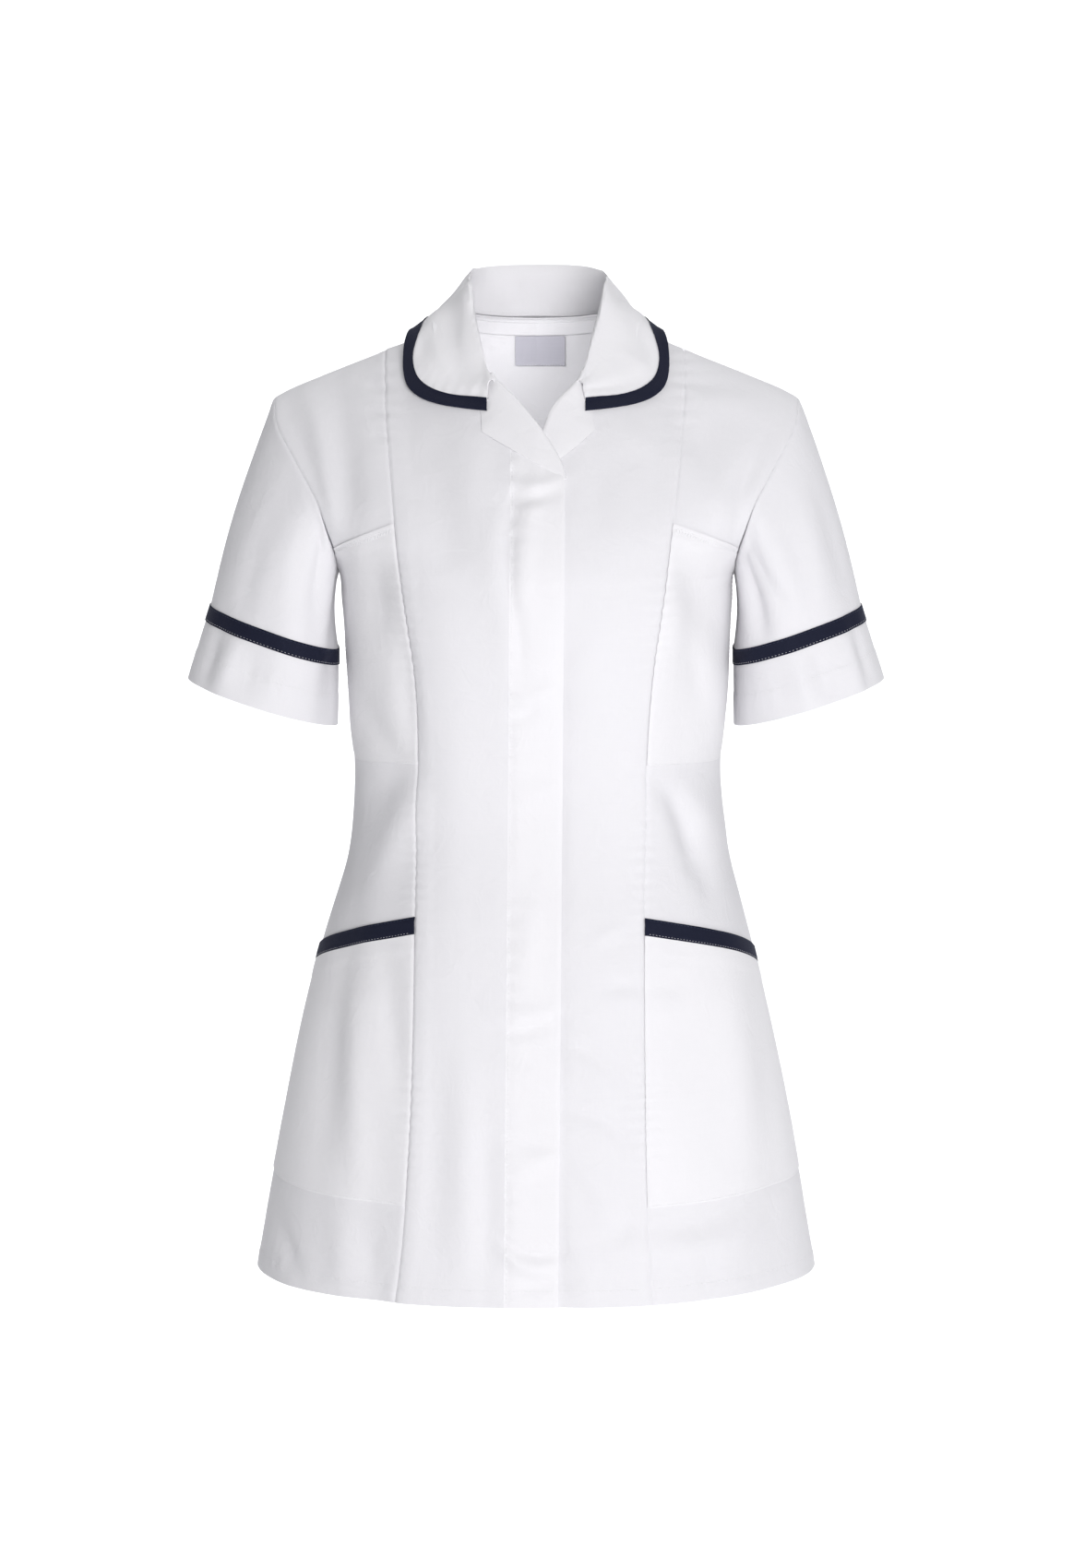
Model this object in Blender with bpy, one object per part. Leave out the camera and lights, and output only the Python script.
"""Work tunic with a rounded bound collar, princess seams, a covered front closure and short sleeves.

Metres, +Z up. +X is the wearer's left, -Y is the front. The origin lies midway between the two points
where the shoulder seams meet the neckline, so the wearer's shoulders carry the tunic there.
Every piece of cloth is a thin wall. Its outer side lies on one smooth form, the air that the cloth
encloses, and what is sewn on a panel is made from that panel's own points, moved out.
"""
import bpy
from math import asin, cos, degrees, exp, pi, radians, sin

import numpy as np

MM = 0.001

# ------------------------------------------------------------------ cloth and seams
CLOTH = 1.2 * MM            # wall of one panel, seam allowances taken in
SEAM = 0.3 * MM             # clear gap between two pieces that are sewn together
LIFT = 0.3 * MM             # clear gap between a panel and what is sewn on it
PATCH = 1.0 * MM            # wall of a pocket or a tape
BIND = 1.4 * MM             # wall of a folded binding

# ------------------------------------------------------------------ driving heights, from the neck points
HEM = -0.690
ARMPIT = -0.178
YOKE_SEAM = -0.078
SHOULDER_Y = 0.008          # the shoulder seams lie this far behind the origin

# The body below the armpits, a row for each level. lean moves the level towards the wearer's left.
BODY_COLUMNS = ("height", "half_width", "front", "back", "lean")
BODY = [
    (-0.700, 0.2065, 0.140, 0.129, 0.0000),
    (-0.640, 0.1965, 0.138, 0.127, 0.0000),
    (-0.575, 0.1845, 0.133, 0.123, 0.0005),
    (-0.506, 0.1700, 0.126, 0.117, 0.0005),
    (-0.462, 0.1595, 0.121, 0.111, 0.0008),
    (-0.420, 0.1480, 0.113, 0.102, 0.0015),
    (-0.385, 0.1385, 0.105, 0.094, 0.0020),
    (-0.350, 0.1340, 0.101, 0.089, 0.0015),
    (-0.320, 0.1325, 0.102, 0.089, 0.0010),
    (-0.285, 0.1345, 0.108, 0.093, 0.0010),
    (-0.240, 0.1375, 0.117, 0.100, 0.0010),
    (-0.200, 0.1395, 0.120, 0.105, 0.0010),
    (-0.178, 0.1420, 0.119, 0.107, 0.0005),
    (-0.165, 0.1500, 0.118, 0.108, 0.0003),
    (-0.147, 0.1720, 0.116, 0.109, 0.0000),
    (-0.131, 0.1920, 0.114, 0.110, 0.0000),
    (-0.099, 0.2200, 0.110, 0.109, 0.0000),
    (-0.056, 0.2500, 0.105, 0.105, 0.0000),
    (0.000, 0.2700, 0.100, 0.100, 0.0000),
    (0.060, 0.2800, 0.095, 0.095, 0.0000),
]
SECTION_POWER = 2.1         # 2 is an ellipse, more is squarer
SOLVE_STEPS = 20            # turns of the loops that find a height on the curved shoulder
SHOULDER_CLEAR = 0.8 * MM   # ways out are measured this far below the shoulder line
CLOSE_FRONT = 1.50          # how the chest closes over to the shoulder seam
CLOSE_BACK = 2.10

# The line over the shoulder, and on towards the middle of the neck where it is cut away.
SHOULDER_COLUMNS = ("out", "height")
SHOULDER = [
    (0.000, 0.044),
    (0.040, 0.026),
    (0.074, 0.0005),
    (0.092, -0.0145),
    (0.108, -0.0215),
    (0.153, -0.0395),
    (0.179, -0.0505),
    (0.189, -0.0560),
    (0.230, -0.0900),
]
NECK_OUT = 0.074            # neckline at the shoulder seam
TIP_OUT = 0.1885            # sleeve head at the shoulder seam

# The princess seam, from the hem to the shoulder, as the distance from the middle of the front.
PRINCESS_COLUMNS = ("height", "right", "left")
PRINCESS = [
    (-0.700, 0.1010, 0.0820),
    (-0.640, 0.0935, 0.0785),
    (-0.575, 0.0890, 0.0765),
    (-0.500, 0.0860, 0.0755),
    (-0.440, 0.0845, 0.0750),
    (-0.360, 0.0830, 0.0755),
    (-0.300, 0.0825, 0.0760),
    (-0.240, 0.0855, 0.0800),
    (-0.200, 0.0900, 0.0850),
    (-0.150, 0.0970, 0.0935),
    (-0.100, 0.1025, 0.1000),
    (-0.060, 0.1065, 0.1045),
    (-0.0215, 0.1080, 0.1060),
    (0.010, 0.1090, 0.1070),
]

# The armhole seam seen from the front and from behind.
ARMHOLE_COLUMNS = ("height", "front_out", "back_out")
ARMHOLE = [
    (-0.178, 0.1420, 0.1420),
    (-0.170, 0.1422, 0.1425),
    (-0.160, 0.1440, 0.1450),
    (-0.147, 0.1480, 0.1495),
    (-0.131, 0.1535, 0.1570),
    (-0.099, 0.1710, 0.1745),
    (-0.070, 0.1865, 0.1870),
    (-0.056, 0.1885, 0.1885),
    (-0.030, 0.1900, 0.1900),
]

# The level lines of the side front panels: where each leaves the princess seam and where it meets the
# side seam. The pockets are made between these lines.
# Columns: name, at_princess, at_side.
LINES = [
    ("hem", HEM + 0.0015, HEM),
    ("hem_fold", -0.6550, -0.6560),
    ("hip_bottom", -0.6190, -0.6180),
    ("thigh", -0.5750, -0.5780),
    ("low_hip", -0.5290, -0.5380),
    ("hip", -0.4850, -0.5000),
    ("mouth_low", -0.4290, -0.4660),
    ("mouth_top", -0.4170, -0.4535),
    ("high_hip", -0.3860, -0.4080),
    ("waist", -0.3480, -0.3600),
    ("bust_bottom", -0.3090, -0.3150),
    ("bust_corner", -0.2930, -0.2980),
    ("rib", -0.2620, -0.2660),
    ("bust", -0.2330, -0.2350),
    ("high_bust", -0.2050, -0.2060),
    ("armpit", ARMPIT, ARMPIT),
    ("bust_top", -0.1390, -0.1600),
]
CHEST_STEPS = 7             # levels from the bust pocket's top to the shoulder seam
SIDE_SHARES = (0.0, 0.2, 0.4, 0.6, 0.76, 0.88, 0.965, 1.0)
CENTRE_SHARES = (0.0, 0.25, 0.5, 0.75, 1.0)

# The closure band, from the stitched edge on the wearer's right to the free edge.
BAND_COLUMNS = ("height", "stitched", "free")
BAND = [
    (-0.700, -0.0229, 0.0155),
    (-0.100, -0.0180, 0.0200),
    (0.000, -0.0176, 0.0205),
]
BAND_LOW = -0.2 * MM        # inner side of the band, from the form
UNDER_LAP = 0.7 * MM        # the left front dips this far below it
OVER_LAP = 1.0 * MM         # the right front rises to the band
LAP_EASE = 0.026            # both ease away over this width
UNDER_EDGE = -0.0165        # the left front's own edge, under the band

# The front edges above the bust line: up the closure, along the fold of the lapel and round the neck.
# Columns: across, height.
RIGHT_EDGE = [
    (-0.0183, -0.1390),
    (-0.0181, -0.1100),
    (-0.0180, -0.0800),
    (-0.0182, -0.0530),
    (-0.0300, -0.0440),
    (-0.0470, -0.0385),
    (-0.0640, -0.0250),
    (-0.0740, 0.0005),
]
LEFT_EDGE = [
    (UNDER_EDGE, -0.1390),
    (UNDER_EDGE, -0.1220),
    (UNDER_EDGE, -0.1040),
    (0.0040, -0.0735),
    (0.0290, -0.0430),
    (0.0470, -0.0385),
    (0.0640, -0.0250),
    (0.0740, 0.0005),
]
BACK_NECK_COLUMNS = ("out", "height")
BACK_NECK = [
    (0.0000, 0.0000),
    (0.0160, 0.0005),
    (0.0320, 0.0015),
    (0.0470, 0.0035),
    (0.0600, 0.0045),
    (0.0700, 0.0035),
    (0.0740, 0.0005),
]


# The largest soft folds of the body. Each runs from one angle and height to another, angles in degrees
# from the middle of the front towards the wearer's left. push is out of the body, or into it if negative.
# Columns: from_angle, from_height, to_angle, to_height, half_width, push.
FOLDS = [
    (39, -0.320, 57, -0.395, 7, -0.0022),
    (46, -0.195, 60, -0.290, 7, -0.0020),
    (-38, -0.315, -54, -0.400, 8, 0.0020),
    (-38, -0.060, -46, -0.150, 7, -0.0025),
    (-52, -0.470, -55, -0.790, 11, 0.0028),
    (-34, -0.500, -31, -0.790, 8, -0.0020),
    (33, -0.490, 36, -0.790, 9, 0.0022),
    (60, -0.500, 57, -0.790, 10, -0.0024),
    (112, -0.470, 116, -0.790, 12, 0.0030),
    (138, -0.450, 142, -0.790, 11, -0.0030),
    (166, -0.440, 165, -0.790, 12, 0.0028),
    (-170, -0.470, -168, -0.790, 9, -0.0024),
    (-143, -0.450, -140, -0.790, 12, 0.0028),
    (-117, -0.480, -114, -0.790, 11, -0.0024),
    (150, -0.290, 135, -0.370, 9, -0.0024),
    (-150, -0.285, -134, -0.372, 9, -0.0026),
]
# The soft folds of the sleeves, at an angle from the outer side over the front, pushed out in the middle
# of the sleeve's length.
# Columns: side, angle, half_width, push.
SLEEVE_FOLDS = [
    (-1, 62, 18, 0.0025),
    (-1, 98, 18, -0.0030),
    (-1, 250, 20, -0.0028),
    (1, 80, 20, 0.0022),
    (1, 118, 17, -0.0030),
    (1, 245, 20, -0.0026),
]


# ------------------------------------------------------------------ tables
def smooth(places, values, at):
    """A smooth curve through a table's column, held level past its ends."""
    x, y = np.asarray(places, float), np.asarray(values, float)
    slope = np.gradient(y, x)
    at = float(np.clip(at, x[0], x[-1]))
    i = int(np.clip(np.searchsorted(x, at) - 1, 0, len(x) - 2))
    step = x[i + 1] - x[i]
    s = (at - x[i]) / step
    return (
        (1 + 2 * s) * (1 - s) ** 2 * y[i]
        + s * (1 - s) ** 2 * step * slope[i]
        + s * s * (3 - 2 * s) * y[i + 1]
        + s * s * (s - 1) * step * slope[i + 1]
    )


def read(table, columns, name, at):
    """The named column at one place of the table's first column."""
    return smooth([row[0] for row in table], [row[columns.index(name)] for row in table], at)


def ease(share):
    share = min(max(share, 0.0), 1.0)
    return share * share * (3 - 2 * share)


# ------------------------------------------------------------------ the form
def shoulder_height(x):
    return read(SHOULDER, SHOULDER_COLUMNS, "height", abs(x))


def angle_at(x, z, back=False):
    """The angle round the body, 0 at the middle of the front, of the point across at x."""
    half = read(BODY, BODY_COLUMNS, "half_width", z)
    out = (x - read(BODY, BODY_COLUMNS, "lean", z)) / half
    turn = asin(min(abs(out), 1.0) ** (SECTION_POWER / 2))
    turn = turn if out >= 0 else -turn
    if back:
        turn = (pi if out >= 0 else -pi) - turn
    return turn


def rise(x, z):
    """0 at the armpit, 1 at the shoulder seam."""
    return min(max((z - ARMPIT) / (shoulder_height(x) - ARMPIT), 0.0), 1.0)


def fold_push(turn, z):
    """How far the body's large folds move the cloth out here."""
    push = 0.0
    for from_angle, from_height, to_angle, to_height, half_width, height in FOLDS:
        share = (from_height - z) / (from_height - to_height)
        if 0 < share < 1:
            middle = from_angle + (to_angle - from_angle) * share
            off = (degrees(turn) - middle + 180) % 360 - 180
            push += height * sin(pi * share) ** 2 * exp(-((off / half_width) ** 2))
    return push


def form(turn, z):
    """The point of the form at this angle and height."""
    x = read(BODY, BODY_COLUMNS, "lean", z)
    across = abs(sin(turn)) ** (2 / SECTION_POWER) * read(BODY, BODY_COLUMNS, "half_width", z)
    x += across if sin(turn) >= 0 else -across
    front = cos(turn) >= 0
    deep = read(BODY, BODY_COLUMNS, "front" if front else "back", z)
    deep *= abs(cos(turn)) ** (2 / SECTION_POWER)
    power = CLOSE_FRONT if front else CLOSE_BACK
    share = rise(x, z)
    deep *= (1 - share**power) ** (1 / power)
    y = SHOULDER_Y * share + (-deep if front else deep)
    push = fold_push(turn, z)
    return np.array((x + push * sin(turn), y - push * cos(turn), z))


def front_point(x, z):
    return form(angle_at(x, z), z)


def back_point(x, z):
    return form(angle_at(x, z, back=True), z)


def climb(x, z, power):
    """A point's place on the way up to the shoulder seam, so that equal steps make even cloth there."""
    return asin(rise(x, z) ** (power / 2))


def between(first, last, share, back=False):
    """The point of the form at this share of the way between two points of it, given as (x, z)."""
    (x0, z0), (x1, z1) = first, last
    t0, t1 = angle_at(x0, z0, back), angle_at(x1, z1, back)
    if back and t0 * t1 < 0:
        t1 += 2 * pi if t1 < t0 else -2 * pi
    turn = t0 + (t1 - t0) * share
    if turn > pi:
        turn -= 2 * pi
    if turn < -pi:
        turn += 2 * pi
    z = z0 + (z1 - z0) * share
    if min(z0, z1) > ARMPIT:
        power = CLOSE_BACK if back else CLOSE_FRONT
        up = climb(x0, z0, power) * (1 - share) + climb(x1, z1, power) * share
        for _ in range(SOLVE_STEPS):
            x = form(turn, z)[0]
            z = ARMPIT + (shoulder_height(x) - ARMPIT) * sin(up) ** (2 / power)
    return form(turn, z)


def form_out(point, back=False):
    """The way out of the form at one of its points."""
    x, z = point[0], point[2]
    z = min(z, shoulder_height(x) - SHOULDER_CLEAR)
    turn = angle_at(x, z, back)
    along = form(turn + 0.02, z) - form(turn - 0.02, z)
    up = form(turn, z + 0.0005) - form(turn, z - 0.0005)
    out = np.cross(along, up)
    return out / np.linalg.norm(out)


def form_normals(points, back=False):
    return np.array([[form_out(point, back) for point in row] for row in points])


# ------------------------------------------------------------------ cloth
def normals(points, closed=False):
    """The way out of the cloth at each point of a grid, whose rows go up and columns go round leftwards."""
    if closed:
        along = np.roll(points, -1, 1) - np.roll(points, 1, 1)
    else:
        along = np.gradient(points, axis=1)
    up = np.gradient(points, axis=0)
    out = np.cross(along, up)
    return out / np.linalg.norm(out, axis=2, keepdims=True)


def draw_in(points, left=0.0, right=0.0, bottom=0.0, top=0.0):
    """Move the edges of a grid inwards along the cloth, which leaves the gap of a seam."""
    points = points.copy()

    def pull(edge, inner, gap):
        way = inner - edge
        return edge + way / np.linalg.norm(way, axis=-1, keepdims=True) * gap

    if left:
        points[:, 0] = pull(points[:, 0], points[:, 1], left)
    if right:
        points[:, -1] = pull(points[:, -1], points[:, -2], right)
    if bottom:
        points[0] = pull(points[0], points[1], bottom)
    if top:
        points[-1] = pull(points[-1], points[-2], top)
    return points


def wall(name, finish, points, out, low, high, closed=False, inner_out=None, skip=(), mirrored=False):
    """One piece of cloth: a closed wall from low to high along the way out of each grid point.

    skip names the triangles left off at a cut corner, as (row, column, half), and mirrored slants the
    triangles the other way, so that the wearer's right is the mirror image of the left."""
    rows, columns = points.shape[:2]
    low = np.broadcast_to(np.asarray(low, float), (rows, columns))[..., None]
    high = np.broadcast_to(np.asarray(high, float), (rows, columns))[..., None]
    inner = points + (out if inner_out is None else inner_out) * low
    outer = points + out * high
    corners = np.concatenate((outer.reshape(-1, 3), inner.reshape(-1, 3)))
    count = rows * columns
    sheet = []
    for i in range(rows - 1):
        for j in range(columns if closed else columns - 1):
            k = (j + 1) % columns
            a, b, c, d = (i * columns + j, i * columns + k, (i + 1) * columns + k, (i + 1) * columns + j)
            pair = ((a, b, d), (b, c, d)) if mirrored else ((a, b, c), (a, c, d))
            sheet += [triangle for half, triangle in enumerate(pair) if (i, j, half) not in skip]
    sides = {}
    for face in sheet:
        for n in range(3):
            sides[(face[n], face[(n + 1) % 3])] = True
    faces = list(sheet) + [tuple(v + count for v in reversed(face)) for face in sheet]
    for a, b in sides:
        if (b, a) not in sides:
            faces.append((b, a, a + count))
            faces.append((b, a + count, b + count))
    used = sorted({v for face in faces for v in face})
    place = {v: n for n, v in enumerate(used)}
    mesh = bpy.data.meshes.new(name)
    mesh.from_pydata([corners[v] for v in used], [], [[place[v] for v in f] for f in faces])
    mesh.materials.append(finish)
    mesh.shade_smooth()
    mesh.set_sharp_from_angle(angle=radians(40))
    piece = bpy.data.objects.new(name, mesh)
    bpy.context.collection.objects.link(piece)
    return piece


def finish(name, colour, roughness):
    """A plain finish in the cloth's colour."""
    material = bpy.data.materials.new(name)
    material.use_nodes = True
    shader = material.node_tree.nodes["Principled BSDF"]
    shader.inputs["Base Color"].default_value = (*colour, 1)
    shader.inputs["Roughness"].default_value = roughness
    shader.inputs["Metallic"].default_value = 0
    material.diffuse_color = (*colour, 1)
    return material


WHITE = (0.80, 0.80, 0.81)
NAVY = (0.016, 0.026, 0.060)
LABEL_GREY = (0.52, 0.52, 0.60)


# ------------------------------------------------------------------ side fronts, pockets and bindings
def princess(side, z):
    """The princess seam's place across at this height. side is -1 on the wearer's right, 1 on the left."""
    return side * read(PRINCESS, PRINCESS_COLUMNS, "right" if side < 0 else "left", z)


def side_seam(side, z):
    """The side seam below the armpit, and the front of the armhole seam above it."""
    if z > ARMPIT:
        return side * read(ARMHOLE, ARMHOLE_COLUMNS, "front_out", z)
    return side * read(BODY, BODY_COLUMNS, "half_width", z) + read(BODY, BODY_COLUMNS, "lean", z)


def seam_heights(across, low, top, power):
    """CHEST_STEPS heights up a seam, whose place across is given by a function of height."""
    start = climb(across(low), low, power)
    heights = []
    for step in range(1, CHEST_STEPS + 1):
        share = sin(start + (pi / 2 - start) * step / CHEST_STEPS) ** (2 / power)
        z = low
        for _ in range(SOLVE_STEPS):
            z = ARMPIT + (shoulder_height(across(z)) - ARMPIT) * share
        heights.append(min(z, top))
    return heights


def side_rows(side):
    """Both ends of each level line of a side front panel, as (x, z) pairs."""
    rows = [((princess(side, a), a), (side_seam(side, b), b)) for _, a, b in LINES]
    at_princess = seam_heights(lambda z: princess(side, z), LINES[-1][1], 1.0, CLOSE_FRONT)
    at_armhole = seam_heights(lambda z: side_seam(side, z), LINES[-1][2], 1.0, CLOSE_FRONT)
    rows += [
        ((princess(side, a), a), (side_seam(side, b), b)) for a, b in zip(at_princess, at_armhole)
    ]
    return rows


def line_number(name):
    return [row[0] for row in LINES].index(name)


def side_front_points(side):
    grid = [[between(first, last, share) for share in SIDE_SHARES] for first, last in side_rows(side)]
    if side < 0:
        grid = [row[::-1] for row in grid]
    return np.array(grid)


def pieces_on_side_front(side, word, points, out, white, navy):
    """The bust pocket, the hip pocket and the hip pocket's binding."""
    def part(first, last):
        rows = slice(line_number(first), line_number(last) + 1)
        return points[rows], out[rows]

    outer, inwards = (len(SIDE_SHARES) - 3, -1) if side > 0 else (0, 1)
    corner = {(0, outer, 0), (0, outer, 1), (0, outer + inwards, 0), (1, outer, 0)}
    grid, way = part("bust_bottom", "bust_top")
    short = slice(0, -1) if side > 0 else slice(1, None)
    grid, way = draw_in(grid[:, short], bottom=SEAM, top=SEAM), way[:, short]
    wall(f"bust_pocket_{word}", white, grid, way, LIFT, LIFT + PATCH, skip=corner,
         mirrored=side < 0)
    grid, way = part("hip_bottom", "mouth_low")
    grid = draw_in(grid, top=SEAM)
    wall(f"hip_pocket_{word}", white, grid, way, LIFT, LIFT + PATCH, mirrored=side < 0)
    grid, way = part("mouth_low", "mouth_top")
    wall(f"hip_binding_{word}", navy, grid, way, LIFT, LIFT + BIND, mirrored=side < 0)


# ------------------------------------------------------------------ centre fronts and the closure band
def centre_rows(side):
    """Both ends of each level line of a centre front panel: at the princess seam and at the front edge."""
    seam = [first for first, _ in side_rows(side)]
    edge = RIGHT_EDGE if side < 0 else LEFT_EDGE
    rows = []
    for number, (x, z) in enumerate(seam):
        step = number - (len(LINES) - 1)
        if step > 0:
            rows.append(((x, z), edge[step]))
        elif side < 0:
            rows.append(((x, z), (read(BAND, BAND_COLUMNS, "stitched", z), z)))
        else:
            rows.append(((x, z), (UNDER_EDGE, z)))
    return rows


def centre_points(side):
    grid = [[between(first, last, share) for share in CENTRE_SHARES] for first, last in centre_rows(side)]
    if side > 0:
        grid = [row[::-1] for row in grid]
    return np.array(grid)


def lap(points, side):
    """How far the cloth of a centre front lies off the form, next to the closure band."""
    if side < 0:
        far = read(BAND, BAND_COLUMNS, "stitched", -0.4) - points[..., 0]
        return np.vectorize(lambda d: OVER_LAP * (1 - ease(d / LAP_EASE)))(far)
    far = points[..., 0] - read(BAND, BAND_COLUMNS, "free", -0.4)
    return np.vectorize(lambda d: -UNDER_LAP * (1 - ease(d / LAP_EASE)))(far)


BAND_TOP_SHARES = (0.0, 0.17, 0.36, 0.55, 0.78, 1.0)
ROLL_TOP = (-0.0182, -0.0530)
ROLL_END = (0.0200, -0.1075)


def band_points():
    """The band's grid: level rows up to the bust line, then rows that lean over to the lapel's fold."""
    rows = [((read(BAND, BAND_COLUMNS, "stitched", z), z), (read(BAND, BAND_COLUMNS, "free", z), z))
            for z in (row[1] for row in LINES)]
    low_left, low_right = rows[-1]
    for share in BAND_TOP_SHARES[1:]:
        rows.append(tuple(
            tuple(a + (b - a) * share for a, b in zip(low, high))
            for low, high in ((low_left, ROLL_TOP), (low_right, ROLL_END))
        ))
    grid = [[between(first, last, n / 3) for n in range(4)] for first, last in rows]
    return np.array(grid)


# ------------------------------------------------------------------ back
BACK_TURNS = 16             # columns round the back panel
BACK_LINES = (-0.169, -0.155, -0.138, -0.118, -0.100)
YOKE_STEPS = 7


def back_armhole(side, z):
    return side * read(ARMHOLE, ARMHOLE_COLUMNS, "back_out", z)


def back_row(z_side, z_middle):
    """One level line round the back, from the wearer's left to the right."""
    row = []
    for column in range(BACK_TURNS + 1):
        share = column / BACK_TURNS
        middle = 1 - (2 * share - 1) ** 2
        z = z_side + (z_middle - z_side) * middle
        ends = []
        for side in (1, -1):
            x = back_armhole(side, z_side) if z_side > ARMPIT else side_seam(side, z_side)
            ends.append(angle_at(x, z_side, back=True))
        turn = ends[0] + (ends[1] + 2 * pi - ends[0]) * share
        row.append(form(turn if turn <= pi else turn - 2 * pi, z))
    return row


YOKE_EDGE = -0.0900         # the yoke seam where it meets the armhole
YOKE_SHOULDER = (TIP_OUT, 0.1600, 0.1300, 0.1010)
YOKE_NECK = (NECK_OUT, 0.0620, 0.0440, 0.0220, 0.0)


def neck_height(x):
    return read(BACK_NECK, BACK_NECK_COLUMNS, "height", abs(x))


def back_panel_points():
    rows = [back_row(side, side + 0.0015 * (name == "hem")) for name, _, side in LINES[:-1]]
    rows += [back_row(z, z) for z in BACK_LINES]
    rows.append(back_row(YOKE_EDGE, YOKE_SEAM))
    return np.array(rows)


def yoke_points():
    """The yoke's grid: its top edge runs along one shoulder seam, round the neck and along the other."""
    bottom = back_row(YOKE_EDGE, YOKE_SEAM)
    half = [(x, shoulder_height(x)) for x in YOKE_SHOULDER] + [(x, neck_height(x)) for x in YOKE_NECK]
    top = half + [(-x, z) for x, z in half[-2::-1]]
    grid = []
    for step in range(YOKE_STEPS + 1):
        share = step / YOKE_STEPS
        row = []
        for low, (x, z) in zip(bottom, top):
            row.append(low if step == 0 else between((low[0], low[2]), (x, z), share, back=True))
        grid.append(row)
    return np.array(grid)


# ------------------------------------------------------------------ sleeves
CUFF_OUTER = (0.2512, -0.2570)      # across and height, of the cuff's outer and inner sides
CUFF_INNER = (0.1440, -0.2910)
CUFF_DEPTH = 0.054                  # half the cuff's size from front to back
CUFF_BACK = 0.001                   # the cuff's middle lies this far behind the origin
TAPE_LOW, TAPE_TOP = 0.0440, 0.0555     # the navy tape's edges, from the sleeve's hem
SLEEVE_HEM = 0.022
SLEEVE_SHARES = (0.22, 0.45, 0.66, 0.84, 0.94, 1.0)    # from the tape's top to the armhole
SLEEVE_SWELL = 0.0035       # the sleeve's outer side bows out
UNDERARM_PULL = 0.0035      # its inner side keeps clear of the body
SWELL_REACH = 0.3           # how far the swell and the pull go round the arm
PULL_REACH = -0.2


def cuff_point(side, turn):
    """A point of the cuff's edge. turn is 0 on the outer side and grows leftwards round the arm."""
    outer = np.array((side * CUFF_OUTER[0], CUFF_BACK, CUFF_OUTER[1]))
    inner = np.array((side * CUFF_INNER[0], CUFF_BACK, CUFF_INNER[1]))
    across = (outer - inner) / 2
    deep = np.array((0, side * CUFF_DEPTH, 0))
    return (outer + inner) / 2 + across * cos(turn) + deep * sin(turn)


def armhole_ring(side, front, back, yoke):
    """The armhole's points leftwards round the arm from the shoulder seam, and each one's turn."""
    first = line_number("armpit")
    edge = -1 if side > 0 else 0
    rise_front = list(front[first:, edge])
    rise_back = list(back[first:, 0 if side > 0 else -1]) + list(yoke[1:, 0 if side > 0 else -1])
    down, up = (rise_back[::-1], rise_front) if side > 0 else (rise_front[::-1], rise_back)
    ring, turns = [], []
    for start, half in ((0, down), (pi, up)):
        steps = np.linalg.norm(np.diff(np.array(half), axis=0), axis=1)
        run = np.concatenate(((0,), np.cumsum(steps))) / steps.sum()
        ring += half[:-1]
        turns += [start + pi * share for share in run[:-1]]
    return np.array(ring), turns


def sleeve_push(side, turn):
    """How far the sleeve's folds move the cloth out at this turn."""
    over_front = degrees(turn) if side < 0 else 360 - degrees(turn)
    push = 0.0
    for fold_side, angle, half_width, height in SLEEVE_FOLDS:
        if fold_side == side:
            off = (over_front - angle + 180) % 360 - 180
            push += height * exp(-((off / half_width) ** 2))
    return push


def sleeve_points(side, ring, turns):
    cuff = np.array([cuff_point(side, turn) for turn in turns])
    way = ring - cuff
    length = np.linalg.norm(way, axis=1, keepdims=True)
    grid = [cuff + way / length * d for d in (0, SLEEVE_HEM, TAPE_LOW, TAPE_TOP)]
    out = cuff - cuff.mean(axis=0)
    out /= np.linalg.norm(out, axis=1, keepdims=True)
    swell = np.array([max(min(cos(turn) + SWELL_REACH, 1), 0) for turn in turns])[:, None] * out
    pull = np.array([max(min(PULL_REACH - cos(turn), 1), 0) for turn in turns])[:, None] * out
    folds = np.array([sleeve_push(side, turn) for turn in turns])[:, None] * out
    for share in SLEEVE_SHARES:
        bow = sin(pi * share)
        row = grid[3] + (ring - grid[3]) * share
        grid.append(row + (swell * SLEEVE_SWELL + folds) * bow - pull * UNDERARM_PULL * bow**0.4)
    return np.array(grid)


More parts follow.
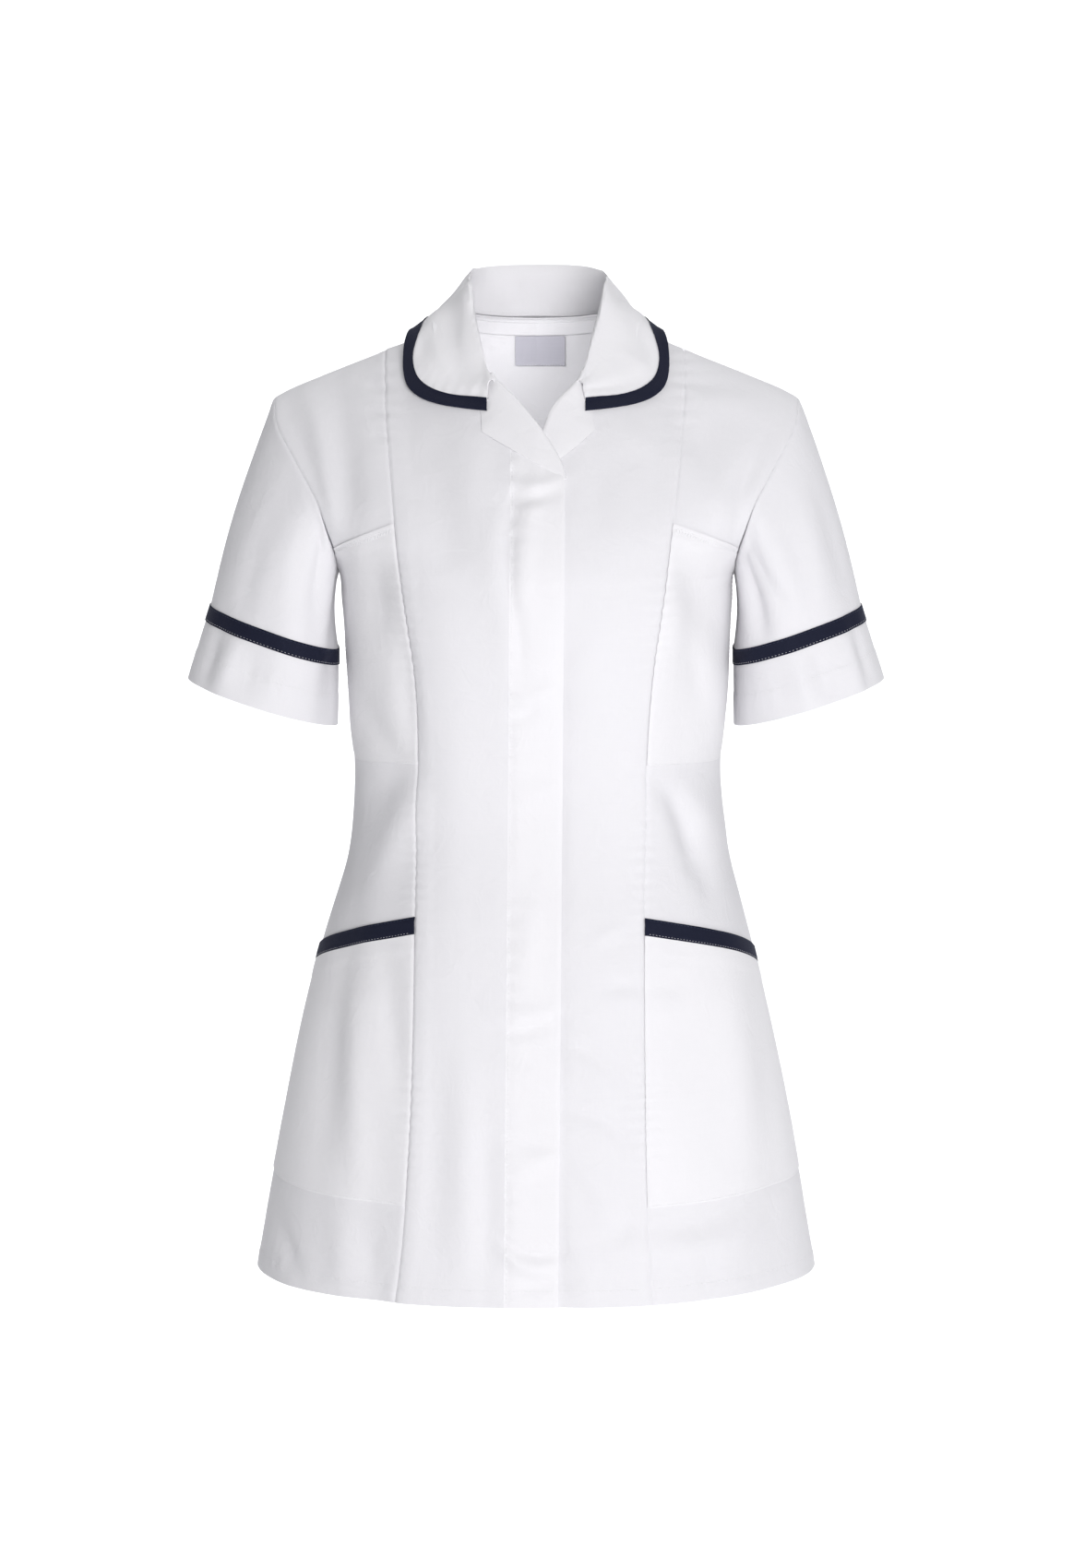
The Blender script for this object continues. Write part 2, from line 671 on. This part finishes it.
# ------------------------------------------------------------------ collar
# Stations round the collar from the middle of the back to its front end, on one side. seam is where it
# joins the neckline, roll the fold at the top of its stand, edge its outer edge.
COLLAR_COLUMNS = ("station", "seam_out", "seam_y", "seam_z", "roll_out", "roll_y", "roll_z",
                  "edge_out", "edge_y", "edge_z")
COLLAR = [
    (0.00, 0.000, 0.0720, 0.001, 0.000, 0.067, 0.0370, 0.000, 0.099, -0.0220),
    (0.12, 0.027, 0.0680, 0.001, 0.024, 0.064, 0.0368, 0.033, 0.096, -0.0215),
    (0.24, 0.050, 0.0540, 0.004, 0.038, 0.052, 0.0360, 0.060, 0.080, -0.0165),
    (0.35, 0.065, 0.0350, 0.005, 0.045, 0.034, 0.0340, 0.077, 0.057, -0.0080),
    (0.45, 0.072, 0.0150, 0.003, 0.0440, 0.015, 0.0260, 0.084, 0.032, -0.0040),
    (0.55, 0.0735, -0.0050, -0.003, 0.0425, -0.003, 0.0130, 0.092, 0.006, -0.0110),
    (0.65, 0.071, -0.0210, -0.013, 0.0400, -0.019, 0.0000, 0.0985, -0.019, -0.0270),
    (0.75, 0.064, -0.0370, -0.024, 0.0365, -0.034, -0.0130, 0.0950, -0.040, -0.0440),
    (0.84, 0.054, -0.0500, -0.034, 0.0340, -0.046, -0.0240, 0.0800, -0.052, -0.0535),
    (0.92, 0.043, -0.0590, -0.040, 0.0315, -0.056, -0.0340, 0.0590, -0.060, -0.0575),
    (1.00, 0.032, -0.0660, -0.044, 0.0290, -0.064, -0.0410, 0.0345, -0.068, -0.0600),
]
COLLAR_STATIONS = 15        # on each side of the middle of the back
COLLAR_CLOTH = 1.3 * MM
COLLAR_CLEAR = 3.2 * MM     # the collar's upper side lies this far off the panels
BINDING_WIDTH = 0.0095
BOUND_OVER = 0.2 * MM       # the binding is this much thicker than the collar, on each side
FOLD_WIDTH = 0.0055         # of the roll, across
FALL_CROWN = 0.0035
STAND_SHARES = (0.0, 0.3, 0.6, 0.85)
FALL_SHARES = (0.18, 0.4, 0.62, 0.82, 1.0)


def off_the_body(point, gap):
    """The point itself, or moved off the shoulder, chest or back where it comes nearer than gap."""
    x, y, z = point
    top = shoulder_height(x)
    if z < top + gap:
        near = min(z, top - 0.0001)
        if y < SHOULDER_Y:
            y = min(y, front_point(x, near)[1] - gap)
        else:
            y = max(y, back_point(x, near)[1] + gap)
        if z > top - 0.004 and abs(y - SHOULDER_Y) < 0.02:
            z = max(z, top + gap)
    return np.array((x, y, z))


def collar_profile(station, side):
    """The collar's section at one station, from the neckline seam over the roll to its outer edge."""
    def at(name):
        return read(COLLAR, COLLAR_COLUMNS, name, station)

    seam, roll, edge = (
        np.array((side * at(f"{word}_out"), at(f"{word}_y"), at(f"{word}_z")))
        for word in ("seam", "roll", "edge")
    )
    away = edge - roll
    away[2] = 0
    away /= max(np.linalg.norm(away), 1e-6)
    up = np.array((0, 0, 1.0))
    stand = roll - seam
    points = [seam + stand * share for share in STAND_SHARES]
    wide = min(FOLD_WIDTH, np.linalg.norm(edge - roll) * 0.3)
    points.append(roll + away * wide * 0.45 + up * wide * 0.25)
    start = roll + away * wide - up * wide * 0.25
    fall = edge - start
    points.append(start)
    crown = np.cross(np.cross(away, fall), fall)
    crown = -crown / max(np.linalg.norm(crown), 1e-9)
    if crown[2] < 0:
        crown = -crown
    for share in FALL_SHARES:
        points.append(start + fall * share + crown * FALL_CROWN * sin(pi * share))
    keep = len(STAND_SHARES)
    return points[:keep] + [off_the_body(p, COLLAR_CLEAR) for p in points[keep:]]


def collar_points():
    """The collar's grid: rows from the seam to the outer edge, columns from its right front end round
    the back to its left front end."""
    stations = [(n / COLLAR_STATIONS) ** 0.9 for n in range(COLLAR_STATIONS + 1)]
    ends = [(s, -1) for s in stations[::-1]] + [(s, 1) for s in stations[1:]]
    return np.array([collar_profile(s, side) for s, side in ends]).swapaxes(0, 1)


# ------------------------------------------------------------------ lapels, neck tape and label
# Columns: roll_x, roll_z, edge_x, edge_z.
LAPEL_RIGHT = [
    (-0.0245, -0.0430, -0.0335, -0.0600),
    (-0.0190, -0.0510, -0.0372, -0.0755),
    (-0.0080, -0.0665, -0.0210, -0.0838),
    (0.0040, -0.0838, -0.0010, -0.0942),
    (0.0150, -0.0995, 0.0150, -0.1030),
]
LAPEL_LEFT = [
    (0.0235, -0.0470, 0.0345, -0.0620),
    (0.0180, -0.0550, 0.0420, -0.0775),
    (0.0120, -0.0640, 0.0300, -0.0868),
    (0.0062, -0.0725, 0.0175, -0.0960),
]
LAPEL_CLOTH = 1.1 * MM
LAPEL_RIGHT_LIFT = 1.5 * MM
LAPEL_LEFT_LIFT = 0.6 * MM
NECK_TAPE_WIDTH = 0.0120
NECK_TAPE_PLACES = (0.0500, 0.0400, 0.0280, 0.0140, 0.0, -0.0140, -0.0280, -0.0400, -0.0500)
TAPE_INSIDE = 1.6 * MM
LABEL_HALF_WIDTH = 0.0185
LABEL_TOP, LABEL_END = -0.0124, -0.0345
LABEL_MIDDLE = 0.0030       # it is sewn on a little to the wearer's left


def lapel_points(table):
    rows = []
    for roll_x, roll_z, edge_x, edge_z in table:
        rows.append([
            front_point(roll_x + (edge_x - roll_x) * n / 3, roll_z + (edge_z - roll_z) * n / 3)
            for n in range(4)
        ])
    return np.array(rows)


def inside_back(tops, drop_first, drop_last, steps):
    """A strip against the inner side of the yoke, below a list of its top points, given as (x, z)."""
    rows = []
    for step in range(steps + 1):
        drop = drop_last + (drop_first - drop_last) * step / steps
        rows.append([back_point(x, z - drop) for x, z in tops])
    return np.array(rows)


# ------------------------------------------------------------------ the tunic
def mitre(first, second):
    """One way inwards for two walls that meet at an angle, long enough to keep both at full thickness."""
    middle = first + second
    middle /= np.linalg.norm(middle, axis=-1, keepdims=True)
    return middle / np.maximum((middle * first).sum(axis=-1, keepdims=True), 0.6)


def build():
    for old in list(bpy.data.objects):
        bpy.data.objects.remove(old, do_unlink=True)
    white = finish("white_cotton", WHITE, 0.85)
    navy = finish("navy_binding", NAVY, 0.75)
    grey = finish("woven_label", LABEL_GREY, 0.55)

    back = back_panel_points()
    yoke = yoke_points()
    back_out, yoke_out = form_normals(back, True), form_normals(yoke, True)
    back_in, yoke_in = back_out.copy(), yoke_out.copy()
    low = line_number("armpit")
    for side, word in ((-1, "right"), (1, "left")):
        front = side_front_points(side)
        front_out = form_normals(front)
        front_in = front_out.copy()
        ring, turns = armhole_ring(side, front, back, yoke)
        sleeve = sleeve_points(side, ring, turns)
        sleeve_out = normals(sleeve, closed=True)
        sleeve_in = sleeve_out.copy()

        edge, rim = (-1, 0) if side > 0 else (0, -1)
        count = len(front) - low
        back_count = len(back) - low
        head = sleeve_out[-1]
        if side > 0:
            on_front = np.concatenate((head[-(count - 1):], head[:1]))
            on_back = head[: len(ring) - count + 2][::-1]
        else:
            on_front = head[:count][::-1]
            on_back = np.concatenate((head[count - 1:], head[:1]))
        front_in[low:, edge] = mitre(front_out[low:, edge], on_front)
        back_in[low:, rim] = mitre(back_out[low:, rim], on_back[:back_count])
        yoke_in[:, rim] = mitre(yoke_out[:, rim], on_back[back_count - 1:])
        body_front = front_in[low:, edge]
        body_back = np.concatenate((back_in[low:, rim], yoke_in[1:, rim]))
        if side > 0:
            sleeve_in[-1] = np.concatenate((body_back[::-1], body_front[1:-1]))
        else:
            sleeve_in[-1] = np.concatenate((body_front[::-1], body_back[1:-1]))

        sleeve = draw_in(sleeve, top=1.5 * SEAM)
        wall(f"sleeve_{word}", white, sleeve, sleeve_out, -CLOTH, 0, True, sleeve_in)
        wall(f"sleeve_tape_{word}", navy, sleeve[2:4], sleeve_out[2:4], LIFT, LIFT + PATCH, True)

        edges = {"left": SEAM / 2, "right": SEAM}
        if side < 0:
            edges = {"left": SEAM, "right": SEAM / 2}
        front = draw_in(front, top=SEAM, **edges)
        wall(f"side_front_{word}", white, front, front_out, -CLOTH, 0, inner_out=front_in,
             mirrored=side < 0)
        pieces_on_side_front(side, word, front, front_out, white, navy)

        centre = centre_points(side)
        centre_out = form_normals(centre)
        off = lap(centre, side)
        edges = {"left": SEAM / 2, "right": SEAM / 2}
        centre = draw_in(centre, top=SEAM, **edges)
        wall(f"front_{word}", white, centre, centre_out, off - CLOTH, off, mirrored=side < 0)

    back = draw_in(back, left=SEAM, right=SEAM, top=SEAM / 2)
    yoke = draw_in(yoke, left=SEAM, right=SEAM, bottom=SEAM / 2, top=SEAM)
    wall("back_panel", white, back, back_out, -CLOTH, 0, inner_out=back_in)
    wall("back_yoke", white, yoke, yoke_out, -CLOTH, 0, inner_out=yoke_in)

    band = band_points()
    wall("placket", white, draw_in(band, left=SEAM / 2), form_normals(band), BAND_LOW, BAND_LOW + CLOTH)

    collar = collar_points()
    out = normals(collar)
    leaf = collar.copy()
    width = np.linalg.norm(collar[-1] - collar[-2], axis=1, keepdims=True)
    leaf[-1] = collar[-1] + (collar[-2] - collar[-1]) / width * np.minimum(BINDING_WIDTH, width * 0.9)
    leaf = draw_in(leaf, bottom=2 * SEAM)
    wall("collar", white, leaf, out, -COLLAR_CLOTH, 0)
    bound = np.array((collar[-1], leaf[-1]))
    bound = draw_in(bound, top=SEAM)
    wall("collar_binding", navy, bound[::-1], np.array((out[-1], out[-1])), -COLLAR_CLOTH - BOUND_OVER,
         BOUND_OVER)

    lapel = lapel_points(LAPEL_RIGHT)
    wall("lapel_right", white, lapel, normals(lapel), LAPEL_RIGHT_LIFT, LAPEL_RIGHT_LIFT + LAPEL_CLOTH)
    lapel = lapel_points(LAPEL_LEFT)[:, ::-1]
    wall("lapel_left", white, lapel, normals(lapel), LAPEL_LEFT_LIFT, LAPEL_LEFT_LIFT + LAPEL_CLOTH)

    tops = [(x, neck_height(x)) for x in NECK_TAPE_PLACES]
    tape = inside_back(tops, 0.003, NECK_TAPE_WIDTH, 2)
    deep = -CLOTH - TAPE_INSIDE
    wall("neck_tape", white, tape, form_normals(tape, True), deep - PATCH, deep)
    across = [(LABEL_MIDDLE + LABEL_HALF_WIDTH * (1 - n / 2), 0.0) for n in range(5)]
    label = inside_back(across, -LABEL_TOP, -LABEL_END, 2)
    wall("label", grey, label, form_normals(label, True), deep - PATCH, deep)


build()
